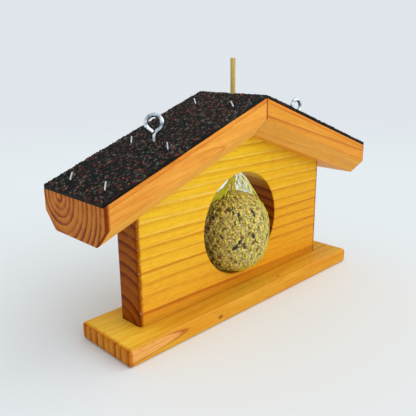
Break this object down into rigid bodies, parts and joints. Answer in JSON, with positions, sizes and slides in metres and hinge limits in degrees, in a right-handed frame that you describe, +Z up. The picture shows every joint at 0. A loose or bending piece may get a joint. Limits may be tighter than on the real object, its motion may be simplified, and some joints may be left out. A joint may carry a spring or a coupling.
{
  "type": "bird feeder",
  "caption": "House-shaped wooden bird feeder: gabled block with a round feeding hole, felt-covered roof, hanging eyes and a netted fat ball on a pull-out stick.",
  "frame": {"origin": "middle of the object's footprint on the ground, under the ridge", "axes": "+X along the roof's span to the right, +Y to the back, +Z up; the pictured front faces -Y"},
  "size_m": [0.302, 0.074, 0.203],
  "materials": {
    "base_wood": "oiled softwood, end grain lines on the front edge",
    "block_wood": "oiled softwood, straight horizontal grain",
    "roof_wood": "oiled softwood, orange, growth rings on the cut ends",
    "roofing_felt": "bitumen felt with rust-red and dark mineral granules",
    "staple_wire": "bright galvanised wire",
    "zinc_plate": "bright zinc plate",
    "bamboo": "pale bamboo with fine long fibres",
    "fat_and_seeds": "pressed fat with seeds and cereal",
    "net_yarn": "yellow-green knotted plastic net",
    "clip_band": "crimped band",
    "screw_steel": "yellow zinc plate"
  },
  "bodies": {
    "house": {"base_board": "base_wood", "house_block": "block_wood", "roof_board_left": "roof_wood", "roof_board_right": "roof_wood", "roof_felt": "roofing_felt", "felt_staples_left": "staple_wire", "felt_staples_right": "staple_wire", "screw_eye_left": "zinc_plate", "screw_eye_right": "zinc_plate", "base_screw_left": "screw_steel", "base_screw_right": "screw_steel", "roof_screw_left_upper": "screw_steel", "roof_screw_left_lower": "screw_steel", "roof_screw_right_upper": "screw_steel", "roof_screw_right_lower": "screw_steel"},
    "stick": {"skewer_stick": "bamboo"},
    "feed": {"fat_ball": "fat_and_seeds", "ball_net": "net_yarn", "net_clip": "clip_band"}
  },
  "joints": [
    {"name": "stick_pull", "type": "slide", "parent": "house", "child": "stick", "axis": [0, 0, 1], "range_m": [0, 0.19]},
    {"name": "ball_spin", "type": "hinge", "parent": "house", "child": "feed", "pos_m": [0, -0.0012, 0.0607], "axis": [0, 0, 1], "continuous": true}
  ]
}
